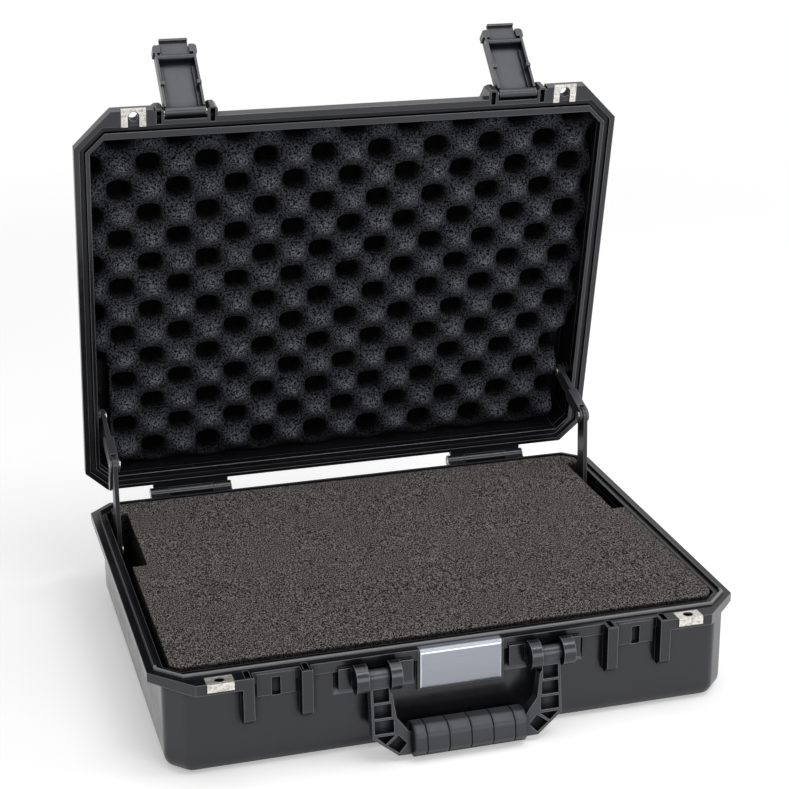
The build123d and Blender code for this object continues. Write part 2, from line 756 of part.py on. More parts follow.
def grip_section(shrink):
    y0, y1 = -handle_y - grip_half_depth + shrink, -handle_y + grip_half_depth - shrink
    z0, z1 = handle_z(grip_bottom - shrink), handle_z(grip_top + shrink)
    c = grip_corner
    return [(y0 + c, z0), (y1 - c, z0), (y1, z0 + c), (y1, z1 - c), (y1 - c, z1), (y0 + c, z1),
            (y0, z1 - c), (y0, z0 + c)]


def handle_grip():
    grip = yz_prism(grip_section(0), -grip_half_width, grip_half_width)
    grip = fillet(grip.edges().filter_by(Axis.X), grip_round)
    hollow = yz_prism(grip_section(grip_joint_depth), -grip_half_width, grip_half_width)
    half = grip_joint_width / 2
    for x in sorted({side * joint for joint in grip_joints for side in (-1, 1)}):
        grip -= yz_prism(grip_section(0), x - half, x + half) - hollow
    return grip - handle_core(running_clearance, grip_half_width + 1)


def handle_pin():
    x0 = disc_inner[0] + handle_pin_sunk
    x1 = disc_outer[1] - handle_pin_sunk
    return x_rod(x0, x1, -handle_y, handle_pivot_z, handle_pin_radius)


# --- hinge pins ----------------------------------------------------------------------
def hinge_pin():
    return x_rod(knuckle_x[0], knuckle_x[3], hinge_y, rim_z, hinge_pin_radius)


# --- lid stays, right-hand side --------------------------------------------------------
def turned_open(point):
    """Where a point of the shut lid goes when the lid is open."""
    from_hinge = Vector(0, point[0] - hinge_y, point[1] - rim_z)
    turned = from_hinge.rotate(Axis.X, -open_angle)
    return turned.Y + hinge_y, turned.Z + rim_z


stay_base_centre = (hinge_y + stay_base_pivot[0], rim_z + stay_base_pivot[1])
stay_lid_centre = (hinge_y + stay_lid_pivot[0], rim_z + stay_lid_pivot[1])
stay_lid_open = turned_open(stay_lid_centre)
stay_elbow = (stay_lid_open[0] + stay_base_pivot[0], stay_lid_open[1] + stay_base_pivot[1])


def stay_lower_link():
    x0, x1 = stay_x - stay_lower_thickness / 2, stay_x + stay_lower_thickness / 2
    link = slanted_bar(stay_base_centre, stay_elbow, stay_lower_depth, x0, x1)
    bore = stay_pin_radius + running_clearance
    for centre in (stay_base_centre, stay_elbow):
        link -= x_rod(x0 - 1, x1 + 1, *centre, bore)
    return link


def stay_upper_link():
    """Bar with a long fork at the elbow; the outer cheek carries the locking tail."""
    dy, dz = stay_lid_open[0] - stay_elbow[0], stay_lid_open[1] - stay_elbow[1]
    length = (dy ** 2 + dz ** 2) ** 0.5
    along = (dy / length, dz / length)

    def local(distance, height):
        return (stay_elbow[0] + along[0] * distance - along[1] * height,
                stay_elbow[1] + along[1] * distance + along[0] * height)

    half, width = stay_upper_thickness / 2, stay_upper_depth
    fork_end = local(stay_fork_length, 0)
    fork = slanted_bar(stay_elbow, fork_end, width, stay_x - stay_cheek_out, stay_x + stay_cheek_out)
    tail_end = (stay_elbow[0] + stay_tail[0], stay_elbow[1] + stay_tail[1])
    fork += slanted_bar(stay_elbow, tail_end, stay_tail_width,
                        stay_x + stay_cheek_gap, stay_x + stay_cheek_out)
    gap_x = (stay_x - stay_cheek_gap, stay_x + stay_cheek_gap)
    gap_end, gap_top = stay_fork_length - stay_fork_wall, width / 2 - stay_cheek
    gap_corners = [local(-width, -width), local(gap_end, -width), local(gap_end, gap_top),
                   local(-width, gap_top)]
    fork -= yz_prism(gap_corners, *gap_x)
    fork -= x_rod(*gap_x, *stay_elbow, stay_lower_depth / 2 + stay_elbow_relief)
    link = fork + slanted_bar(fork_end, stay_lid_open, width, stay_x - half, stay_x + half)
    link -= x_rod(stay_x - 9, stay_x + 9, *stay_elbow, stay_pin_radius + running_clearance)
    return link - x_rod(stay_x - 9, stay_x + 9, *stay_lid_open, stay_pin_radius + open_pivot_clearance)


def rivet(centre, head_x, tail_x):
    """Pin with a head on its inner end."""
    pin = x_rod(head_x, tail_x, *centre, stay_pin_radius)
    return pin + x_rod(head_x - stay_head_height, head_x, *centre, stay_head_radius)


def stay_rivets():
    inner_face = stay_x - stay_lower_thickness / 2
    upper_inner = stay_x - stay_upper_thickness / 2
    fork_face = stay_inner_face
    wall_end = wall_half_width - wall_thickness - stay_pin_end_gap
    return {
        "stay_base_rivet": rivet(stay_base_centre, inner_face - side_clearance, wall_end),
        "stay_elbow_rivet": rivet(stay_elbow, fork_face, stay_x + stay_cheek_out),
        "stay_lid_rivet": rivet(stay_lid_open, upper_inner - side_clearance, wall_end),
    }


# --- foams ---------------------------------------------------------------------------
def foam_points(half_width, front, rear):
    return outline(half_width, front, rear, rim_half_width - half_width)


def base_pad_foam():
    z0 = floor_thickness + foam_gap
    return xy_prism(foam_points(foam_half_width, foam_front, foam_rear), z0, z0 + pad_thickness)


def base_cubed_foam():
    z0 = floor_thickness + pad_thickness + 2 * foam_gap
    foam = xy_prism(foam_points(foam_half_width, foam_front, foam_rear), z0, rim_z + foam_top_rel)
    notch = block(notch_inner_x, foam_half_width + 1, notch_rear - notch_length, notch_rear,
                  z0 - 1, rim_z + foam_top_rel + 1)
    return foam - both_sides(notch)


def lid_foam_pits():
    """Staggered pits between the bumps."""
    pitch_x, pitch_y = lid_foam_pitch
    mouth, floor, depth = lid_foam_pit
    wide = Rectangle(2 * mouth * pitch_x, 2 * mouth * pitch_y)
    narrow = Pos(0, 0, depth) * Rectangle(2 * floor * pitch_x, 2 * floor * pitch_y)
    pit = loft(Sketch() + [wide, narrow], ruled=True)
    columns = int(2 * lid_foam_half_width / pitch_x) + 1
    rows = int((foam_front + foam_rear) / pitch_y) + 1
    x0 = lid_foam_first[0] - lid_foam_half_width
    y0 = lid_foam_first[1] - foam_front
    spots = [Pos(x0 + column * pitch_x, y0 + row * pitch_y, rim_z + lid_foam_low)
             for row in range(rows) for column in range(columns) if (row + column) % 2 == 1]
    return [spot * pit for spot in spots]


def lid_convoluted_foam():
    low, top = rim_z + lid_foam_low, lid_top_z - floor_thickness - foam_gap
    inside = lid_box(wall_thickness + lid_foam_gap, low, top)
    limit = foam_points(lid_foam_half_width, foam_front, foam_rear)
    foam = inside & xy_prism(limit, low, top)
    notch = block(lid_notch_x, lid_foam_half_width + 1, stay_lid_centre[0] - lid_foam_notch,
                  foam_rear + 1, low - 1, top + 1)
    return foam - both_sides(notch) - lid_foam_pits()


# --- turning into the open position ------------------------------------------------------
lid_axis = Axis((0, hinge_y, rim_z), (1, 0, 0))
latch_turn_axis = Axis((0, -latch_pin_y, latch_pin_z), (1, 0, 0))
handle_turn_axis = Axis((0, -handle_y, handle_pivot_z), (1, 0, 0))


def open_lid(shape):
    return shape.rotate(lid_axis, -open_angle)


def open_latch(shape):
    return open_lid(shape.rotate(latch_turn_axis, -latch_open_angle))


def hang_handle(shape):
    return shape.rotate(handle_turn_axis, -handle_lean)


def save(name, shape):
    solids = shape.solids()
    assert len(solids) == 1, (name, len(solids))
    export_step(solids[0], f"parts/{name}.step")


def save_pair(name, shape):
    save(name + "_right", shape)
    save(name + "_left", other_side(shape))


os.makedirs("parts", exist_ok=True)
save("base_shell", base_shell())
save("lid_shell", open_lid(lid_shell()))
save("lid_gasket", open_lid(lid_gasket()))
save("nameplate", nameplate())
save("handle_frame", hang_handle(handle_frame()))
save("handle_grip", hang_handle(handle_grip()))
save("base_cubed_foam", base_cubed_foam())
save("base_pad_foam", base_pad_foam())
save("lid_convoluted_foam", open_lid(lid_convoluted_foam()))
save_pair("base_padlock_plate", base_padlock_plate())
save_pair("lid_padlock_plate", open_lid(lid_padlock_plate()))
save_pair("latch_body", open_latch(latch_body()))
save_pair("latch_tab", open_latch(latch_tab()))
save_pair("latch_tab_pin", open_latch(latch_tab_pin()))
save_pair("latch_pin", open_lid(latch_pin()))
save_pair("handle_pin", handle_pin())
save_pair("hinge_pin", hinge_pin())
save_pair("stay_lower_link", stay_lower_link())
save_pair("stay_upper_link", stay_upper_link())
for rivet_name, rivet_shape in stay_rivets().items():
    save_pair(rivet_name, rivet_shape)
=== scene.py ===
import bpy, bmesh, json, math
from mathutils import Matrix, Vector, noise


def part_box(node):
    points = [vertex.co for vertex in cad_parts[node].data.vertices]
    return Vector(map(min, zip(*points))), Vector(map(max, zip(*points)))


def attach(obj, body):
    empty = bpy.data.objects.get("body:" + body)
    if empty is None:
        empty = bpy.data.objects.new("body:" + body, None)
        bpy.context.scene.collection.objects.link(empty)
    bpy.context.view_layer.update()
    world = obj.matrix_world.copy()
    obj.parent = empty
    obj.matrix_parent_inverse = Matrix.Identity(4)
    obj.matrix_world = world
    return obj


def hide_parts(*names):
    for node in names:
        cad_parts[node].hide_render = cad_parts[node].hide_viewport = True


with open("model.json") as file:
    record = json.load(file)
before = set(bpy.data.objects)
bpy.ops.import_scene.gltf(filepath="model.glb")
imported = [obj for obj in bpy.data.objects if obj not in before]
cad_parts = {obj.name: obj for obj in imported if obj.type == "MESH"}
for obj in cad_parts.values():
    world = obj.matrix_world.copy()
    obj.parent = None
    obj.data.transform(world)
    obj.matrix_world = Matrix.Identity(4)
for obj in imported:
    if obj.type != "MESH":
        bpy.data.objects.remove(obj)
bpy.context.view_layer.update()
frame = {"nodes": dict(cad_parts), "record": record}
nodes = frame["nodes"]

# The laptop case's looks.  Metres, in the frame's axes: X to the right, -Y to the front.

# --- sizes that materials and foams share --------------------------------------------------
RIM_Z = 0.084                    # where the base's rim meets the shut lid's
RIM_HALF = 0.250
RIM_FRONT = 0.192                # front of the padlock blocks, where the chamfer is measured
RIM_REAR = 0.1932
FRONT_CHAMFER, REAR_CHAMFER = 0.0328, 0.0205
RIM_SKIN = 0.0003                # tells the rim's own face from what stands over or under it
REAR_MARGIN = 0.001              # keeps the rim's rear face apart from its top
FRONT_WALL = -0.1822             # just in front of the base's front wall
TONGUE_REAR = -0.152             # the sealing tongue's top gets a painted highlight in front of this


# --- node helpers --------------------------------------------------------------------------
def feed(tree, socket, value):
    """Links a socket to another node's output, or sets it to a plain value."""
    if isinstance(value, bpy.types.NodeSocket):
        tree.links.new(value, socket)
    else:
        socket.default_value = value


def add(tree, kind, **inputs):
    """A new node with some of its inputs fed by name."""
    node = tree.nodes.new(kind)
    for key, value in inputs.items():
        feed(tree, node.inputs[key.replace("_", " ")], value)
    return node


def new_material(name):
    mat = bpy.data.materials.new(name)
    mat.use_nodes = True
    tree = mat.node_tree
    tree.nodes.clear()
    bsdf = add(tree, "ShaderNodeBsdfPrincipled")
    out = add(tree, "ShaderNodeOutputMaterial", Surface=bsdf.outputs[0])
    return mat, tree, bsdf, out


def maths(tree, operation, first, second):
    node = add(tree, "ShaderNodeMath")
    node.operation = operation
    feed(tree, node.inputs[0], first)
    feed(tree, node.inputs[1], second)
    return node.outputs[0]


def vector_maths(tree, operation, *vectors):
    """Gives the node, because some operations end in a vector and others in a value."""
    node = add(tree, "ShaderNodeVectorMath")
    node.operation = operation
    for socket, vector in zip(node.inputs, vectors):
        feed(tree, socket, vector)
    return node


def ranged(tree, value, source=(0, 1), target=(0, 1)):
    """Maps a value from one range to another and holds it at both ends."""
    node = add(tree, "ShaderNodeMapRange", Value=value, From_Min=source[0], From_Max=source[1],
               To_Min=target[0], To_Max=target[1])
    return node.outputs[0]


def ramp(tree, fac, *stops):
    """Runs between two stops, each a place and a colour."""
    node = add(tree, "ShaderNodeValToRGB", Fac=fac)
    for element, (place, colour) in zip(node.color_ramp.elements, stops):
        element.position = place
        element.color = (*colour, 1)
    return node.outputs[0]


def blended(tree, fac, tone, colour):
    """Goes from a tone to a plain colour as the factor goes from 0 to 1."""
    node = tree.nodes.new("ShaderNodeMix")
    node.data_type = "RGBA"
    feed(tree, node.inputs["Factor"], fac)
    feed(tree, node.inputs["A"], tone)
    feed(tree, node.inputs["B"], (*colour, 1))
    return node.outputs["Result"]


def object_coords(tree, scale=(1, 1, 1)):
    coord = add(tree, "ShaderNodeTexCoord")
    return add(tree, "ShaderNodeMapping", Vector=coord.outputs["Object"], Scale=scale).outputs[0]


def noise_tex(tree, vector, scale, detail, rough=0.55):
    node = add(tree, "ShaderNodeTexNoise", Vector=vector, Scale=scale, Detail=detail, Roughness=rough)
    return node.outputs["Fac"]


def bump(tree, height, strength, distance, normal=None):
    node = add(tree, "ShaderNodeBump", Height=height, Strength=strength, Distance=distance)
    if normal is not None:
        feed(tree, node.inputs["Normal"], normal)
    return node.outputs[0]


# --- masks: values from 0 to 1 over a surface ------------------------------------------------
MASK_SAMPLES = 8                 # of the bevel and ambient occlusion nodes


def soft_edges(tree, radius):
    """The surface's normal, rounded over its edges."""
    node = add(tree, "ShaderNodeBevel", Radius=radius)
    node.samples = MASK_SAMPLES
    return node.outputs[0]


def edge_highlight_mask(tree, rounded):
    """Painted highlight mask: one where the rounded normal turns away from the flat one, which is along
    the edges.
    """
    start, full = 0.997, 0.92    # cosines of the turn
    flat = add(tree, "ShaderNodeNewGeometry")
    turn = vector_maths(tree, "DOT_PRODUCT", rounded, flat.outputs["Normal"])
    return ranged(tree, turn.outputs["Value"], (start, full))


def cavity_shade(tree, reach):
    """Painted shade: one in the open and less in corners and gaps narrower than the reach, where it
    dims the gloss.
    """
    shut, clear, least = 0.42, 0.92, 0.04
    near = add(tree, "ShaderNodeAmbientOcclusion", Distance=reach)
    near.samples = MASK_SAMPLES
    return ranged(tree, near.outputs["AO"], (shut, clear), (least, 1))


def rib_flank_shade(tree):
    """Painted shade: nearly none on the left flanks of what stands out from the front wall, one
    elsewhere.
    """
    leftward, least = -0.8, 0.05
    coord = add(tree, "ShaderNodeTexCoord")
    place = add(tree, "ShaderNodeSeparateXYZ", Vector=coord.outputs["Object"])
    turn = add(tree, "ShaderNodeSeparateXYZ", Vector=coord.outputs["Normal"])
    flank = maths(tree, "MULTIPLY", maths(tree, "LESS_THAN", turn.outputs["X"], leftward),
                  maths(tree, "LESS_THAN", place.outputs["Y"], FRONT_WALL))
    return ranged(tree, flank, target=(1, least))


def above(tree, level, rear):
    """One above a level of the base and in front of a depth, none elsewhere."""
    coord = add(tree, "ShaderNodeTexCoord")
    place = add(tree, "ShaderNodeSeparateXYZ", Vector=coord.outputs["Object"])
    return maths(tree, "MULTIPLY", maths(tree, "GREATER_THAN", place.outputs["Z"], level),
                 maths(tree, "LESS_THAN", place.outputs["Y"], rear))


def shade_value(tree):
    """The mesh's own "shade" value."""
    node = add(tree, "ShaderNodeAttribute")
    node.attribute_name = "shade"
    return node.outputs["Fac"]


# --- materials -------------------------------------------------------------------------------
NOISE_SPAN = (0.3, 0.7)          # where most of a noise's values lie
TONE_SCALE, GLOSS_SCALE = 14, 55               # cells per metre of the slow changes
SCRATCH_SCALE = 900
CAVITY_REACH = 0.009
HIGHLIGHT_WIDTH = 1.5                  # the painted edge highlight's width over the rounded edge's
COOL_GLOSS = (0.93, 0.94, 1.0, 1)


def plastic(name, tones, rough, grain=0.0009, grain_depth=0.000025, edge=0.0005, spec=0.5,
            tongue_highlight=None, rim_spec=None, edge_highlight=None):
    """Moulded plastic: a fine spark-eroded grain over slow changes of tone and gloss, with painted
    shade that dims the gloss in corners and gaps.  Where they are given, the sealing tongue gets a
    painted highlight in the tone given for it, the edges a painted highlight in theirs, and rim_spec
    is the gloss of the base's flat rim, and with it the left flanks on the front wall get painted
    shade in their gloss."""
    mat, tree, bsdf, _ = new_material(name)
    vec = object_coords(tree)
    tone = ramp(tree, noise_tex(tree, vec, TONE_SCALE, detail=3), *zip(NOISE_SPAN, tones))
    # painted shade: the gloss is dimmed in corners and gaps
    open_air = cavity_shade(tree, CAVITY_REACH)
    gloss = spec
    # painted highlight: a lighter tone on the sealing tongue's top, in front of TONGUE_REAR
    if tongue_highlight:
        tone = blended(tree, above(tree, RIM_Z + RIM_SKIN, TONGUE_REAR), tone, tongue_highlight)
    if rim_spec is not None:
        # painted shade in the gloss of the left flanks standing out from the front wall
        open_air = maths(tree, "MULTIPLY", open_air, rib_flank_shade(tree))
        on_rim = above(tree, RIM_Z - RIM_SKIN, RIM_REAR - REAR_MARGIN)
        gloss = ranged(tree, on_rim, target=(spec, rim_spec))
    # painted highlight: a lighter tone along the edges, kept out of the corners and gaps
    if edge_highlight:
        edges = edge_highlight_mask(tree, soft_edges(tree, edge * HIGHLIGHT_WIDTH))
        tone = blended(tree, maths(tree, "MULTIPLY", edges, open_air), tone, edge_highlight)
    uneven = noise_tex(tree, vec, GLOSS_SCALE, detail=4)
    fine = noise_tex(tree, vec, 1 / grain, detail=2, rough=0.6)
    normal = bump(tree, fine, strength=0.35, distance=grain_depth, normal=soft_edges(tree, edge))
    feed(tree, bsdf.inputs["Base Color"], tone)
    feed(tree, bsdf.inputs["Roughness"], ranged(tree, uneven, NOISE_SPAN, (rough - 0.05, rough + 0.06)))
    feed(tree, bsdf.inputs["Specular Tint"], COOL_GLOSS)
    feed(tree, bsdf.inputs["Specular IOR Level"], maths(tree, "MULTIPLY", open_air, gloss))
    feed(tree, bsdf.inputs["Normal"], normal)
    return mat


def metal(name, tones, rough, stretch, spots=None):
    """Brushed metal: long fine scratches along one direction, with dull spots of a given size."""
    edge, scratch_depth, dull = 0.0003, 0.00002, (0.60, 0.57, 0.52)
    mat, tree, bsdf, _ = new_material(name)
    lines = noise_tex(tree, object_coords(tree, stretch), SCRATCH_SCALE, detail=3, rough=0.6)
    tone = ramp(tree, lines, *zip((0.35, 0.65), tones))
    if spots:
        spotted = noise_tex(tree, object_coords(tree), 1 / spots, detail=2, rough=0.6)
        stain = ramp(tree, spotted, (0.36, dull), (0.5, (1, 1, 1)))
        tone = vector_maths(tree, "MULTIPLY", tone, stain).outputs["Vector"]
    normal = bump(tree, lines, strength=0.25, distance=scratch_depth, normal=soft_edges(tree, edge))
    feed(tree, bsdf.inputs["Base Color"], tone)
    feed(tree, bsdf.inputs["Roughness"], ranged(tree, lines, NOISE_SPAN, (rough - 0.06, rough + 0.08)))
    feed(tree, bsdf.inputs["Metallic"], 1.0)
    feed(tree, bsdf.inputs["Normal"], normal)
    return mat


def foam(name, tones, stops, cell, depth, stretch=(1, 1, 1)):
    """Open-cell foam: tiny pores with flecks lighter and darker than the body, darker where
    the mesh's "shade" value is low."""
    fleck_scale, fleck_depth = 0.7, 1.6           # over a pore's
    mat, tree, bsdf, _ = new_material(name)
    vec = object_coords(tree, stretch)
    pores = add(tree, "ShaderNodeTexVoronoi", Vector=vec, Scale=1 / cell, Randomness=1.0)
    flecks = noise_tex(tree, vec, fleck_scale / cell, detail=2, rough=0.6)
    shaded = vector_maths(tree, "SCALE", ramp(tree, flecks, *zip(stops, tones)))
    feed(tree, shaded.inputs["Scale"], shade_value(tree))
    coarse = bump(tree, flecks, strength=0.7, distance=depth * fleck_depth)
    normal = bump(tree, pores.outputs["Distance"], strength=0.6, distance=depth, normal=coarse)
    feed(tree, bsdf.inputs["Base Color"], shaded.outputs["Vector"])
    feed(tree, bsdf.inputs["Roughness"], 0.95)
    feed(tree, bsdf.inputs["Specular IOR Level"], 0.04)
    feed(tree, bsdf.inputs["Normal"], normal)
    return mat


# Tones are a dark and a light colour, grain and spots are sizes, and names are the record's slots
# apart from base_plastic, nameplate_edge and the upper links' lighter copy of stay_plastic, which is
# painted light.
# painted highlight: the lighter tone along the plastics' edges
EDGE_HIGHLIGHT = (0.125, 0.126, 0.135)
SHELL_TONES = ((0.0052, 0.0054, 0.0064), (0.0078, 0.0081, 0.0094))
PLASTICS = {
    "case_plastic": dict(tones=SHELL_TONES, rough=0.20, edge=0.0008, spec=0.60, edge_highlight=EDGE_HIGHLIGHT),
    # the base's own copy: a painted highlight on its tongue and painted shade on its rib flanks
    "base_plastic": dict(tones=SHELL_TONES, rough=0.20, edge=0.0008, spec=0.60, edge_highlight=EDGE_HIGHLIGHT,
                         tongue_highlight=(0.19, 0.19, 0.197), rim_spec=0.20),
    "latch_plastic": dict(tones=((0.010, 0.0104, 0.0120), (0.015, 0.0155, 0.0175)), rough=0.30,
                          edge=0.0007, spec=0.66, edge_highlight=EDGE_HIGHLIGHT),
    "handle_plastic": dict(tones=((0.010, 0.0104, 0.0120), (0.014, 0.0144, 0.0165)), rough=0.30,
                           edge=0.0008, spec=0.70, edge_highlight=EDGE_HIGHLIGHT),
    "stay_plastic": dict(tones=((0.018, 0.0184, 0.0205), (0.026, 0.0264, 0.0290)), rough=0.34,
                         edge=0.0008, spec=0.48, edge_highlight=EDGE_HIGHLIGHT),
    # painted light: a lighter, glossier copy of stay_plastic for the upper links in the lid's shadow
    "stay_upper_plastic": dict(tones=((0.034, 0.0345, 0.0380), (0.046, 0.0465, 0.0510)), rough=0.34,
                               edge=0.0008, spec=0.80, edge_highlight=EDGE_HIGHLIGHT),
    "grip_rubber": dict(tones=((0.018, 0.0185, 0.0205), (0.026, 0.0265, 0.0290)), rough=0.42,
                        grain=0.0012, grain_depth=0.00005, edge=0.004),
    "seal_rubber": dict(tones=((0.006, 0.0060, 0.0065), (0.009, 0.0090, 0.0100)), rough=0.50,
                        grain=0.0008, grain_depth=0.00004),
}
METALS = {
    "stainless": dict(tones=((0.58, 0.57, 0.54), (0.78, 0.76, 0.72)), rough=0.42,
                      stretch=(0.05, 1, 1), spots=0.0019),
    "nameplate_metal": dict(tones=((0.29, 0.31, 0.35), (0.32, 0.34, 0.38)), rough=0.46,
                            stretch=(0.06, 1, 1)),
    "nameplate_edge": dict(tones=((0.52, 0.53, 0.56), (0.62, 0.63, 0.66)), rough=0.40,
                           stretch=(0.06, 1, 1)),
}
FOAMS = {
    "foam_grey": dict(tones=((0.004, 0.0037, 0.0035), (0.285, 0.262, 0.253)), stops=(0.425, 0.69),
                      cell=0.0007, depth=0.0006, stretch=(1, 0.55, 1)),
    "foam_black": dict(tones=((0.005, 0.0054, 0.0074), (0.138, 0.142, 0.166)), stops=(0.42, 0.59),
                       cell=0.0011, depth=0.0006),
}
mats = {}
for make, looks in ((plastic, PLASTICS), (metal, METALS), (foam, FOAMS)):
    for name, look in looks.items():
        mats[name] = make(name, **look)


def dress_nodes():
    """Gives each CAD node its slot's material, the base shell its own, and the upper links a lighter
    copy of the stays' plastic: painted light, as they lie in the lid's shadow.
    """
    for part in frame["record"]["subparts"]:
        slots = nodes[part["node"]].data.materials
        slots.clear()
        slots.append(mats[part["material_slot"]])
    nodes["base_shell"].data.materials[0] = mats["base_plastic"]
    for name, node in nodes.items():
        if name.startswith("stay_upper"):
            node.data.materials[0] = mats["stay_upper_plastic"]


# --- mesh helpers ----------------------------------------------------------------------------
DECIMALS = 6                     # grid lines are kept to a thousandth of a millimetre
HAIR = 1e-9


def held(value):
    """Holds a value between 0 and 1."""
    return min(max(value, 0.0), 1.0)


def soft_noise(x, y, size, amount, seed):
    return noise.noise(Vector((x / size, y / size, seed))) * amount


def ticks(low, high, step, extra=()):
    """Grid lines about a step apart from low to high, with extra lines in place of any near them."""
    crowded = step * 0.4
    count = max(1, round((high - low) / step))
    even = {round(low + (high - low) * i / count, DECIMALS) for i in range(count + 1)}
    free = {v for v in even if all(abs(v - line) > crowded for line in extra)}
    lines = free | {round(line, DECIMALS) for line in extra}
    return sorted(v for v in lines if low - HAIR <= v <= high + HAIR)


def sheet_mesh(xs, ys, height, keep=lambda x, y: True):
    """A sheet over the grid, without the cells whose middles aren't kept."""
    bm = bmesh.new()
    grid = [[bm.verts.new((x, y, height(x, y))) for y in ys] for x in xs]
    for i in range(len(xs) - 1):
        for j in range(len(ys) - 1):
            if keep((xs[i] + xs[i + 1]) / 2, (ys[j] + ys[j + 1]) / 2):
                bm.faces.new((grid[i][j], grid[i + 1][j], grid[i + 1][j + 1], grid[i][j + 1]))
    loose = [v for v in bm.verts if not v.link_faces]
    bmesh.ops.delete(bm, geom=loose, context="VERTS")
    return bm


def corner_sum(depth, chamfer, half):
    """What |x| + |y| is along a foam's cut corner, as far inside the rim's as its side is."""
    return RIM_HALF + depth - chamfer - (RIM_HALF - half) * math.sqrt(2)


def cut_corners(bm, front_sum, rear_sum):
    """Cuts the four corners along |x| + |y| = a constant."""
    for sx in (-1, 1):
        for sy, total in ((-1, front_sum), (1, rear_sum)):
            normal = Vector((sx, sy, 0)).normalized()
            geom = bm.verts[:] + bm.edges[:] + bm.faces[:]
            bmesh.ops.bisect_plane(bm, geom=geom, plane_co=normal * total / math.sqrt(2),
                                   plane_no=normal, clear_outer=True)


def close_sheet(bm, levels):
    """Runs the sheet's edge through the given levels and closes it with a flat far face."""
    edges = [e for e in bm.edges if e.is_boundary]
    for level in levels:
        new = bmesh.ops.extrude_edge_only(bm, edges=edges)["geom"]
        edges = [e for e in new if isinstance(e, bmesh.types.BMEdge)]
        for v in new:
            if isinstance(v, bmesh.types.BMVert):
                v.co.z = level(v.co)
    bmesh.ops.holes_fill(bm, edges=edges, sides=0)


def shade_block(bm, top, front, rear, lift=0.0):
    """Full tone on a block's top, painted light that makes it lighter to the rear by the lift, and
    painted shade on its sides.
    """
    side_drop, side_tone = 0.0035, 0.2
    layer = bm.verts.layers.float.new("shade")
    for v in bm.verts:
        along = (v.co.y - front) / (rear - front)
        v[layer] = 1 + lift * along * along if v.co.z > top - side_drop else side_tone


def link_new(name, data):
    obj = bpy.data.objects.new(name, data)
    bpy.context.scene.collection.objects.link(obj)
    return obj


def finished_mesh(bm, name):
    bmesh.ops.recalc_face_normals(bm, faces=bm.faces[:])
    mesh = bpy.data.meshes.new(name)
    bm.to_mesh(mesh)
    bm.free()
    return mesh


def finish_foam(bm, name, body, node, slot, smooth):
    mesh = finished_mesh(bm, name)
    for poly in mesh.polygons:
        poly.use_smooth = smooth
    mesh.materials.append(mats[slot])
    obj = link_new(name, mesh)
    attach(obj, body)
    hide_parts(node)


# --- base foams ------------------------------------------------------------------------------
SWELL, PROUD = 0.0027, 0.0042    # past its plain block, to the sides and rear, and upward
NOTCH_X, NOTCH_FRONT, NOTCH_REAR = 0.2185, 0.0324, 0.154
CUBE, FIRST_CUBE = 0.0125, 0.008               # the front row of cubes is cut short
SLIT = 0.0004                    # half width
SLIT_MARGIN = 0.006              # no slit this near the outline
SLIT_DEPTH = 0.0008
SLIT_BIAS, SLIT_PATCH = 0.3, 0.02              # slits close where a noise is under minus the bias
EDGE_ROLL, EDGE_DROP = 0.004, 0.0014           # the top's edge rolls over, this wide and deep
TOP_PLAY, CUBE_PLAY = 0.0009, 0.0001           # the top's lowering, and how much cubes differ
PAD_PLAY, PAD_EDGE = 0.0002, 0.003
BASE_STEP, PAD_STEP = 0.0042, 0.012            # steps of the grids
REAR_PAINTED_LIGHT = 0.42             # painted light: how much lighter the cubed foam is at its rear


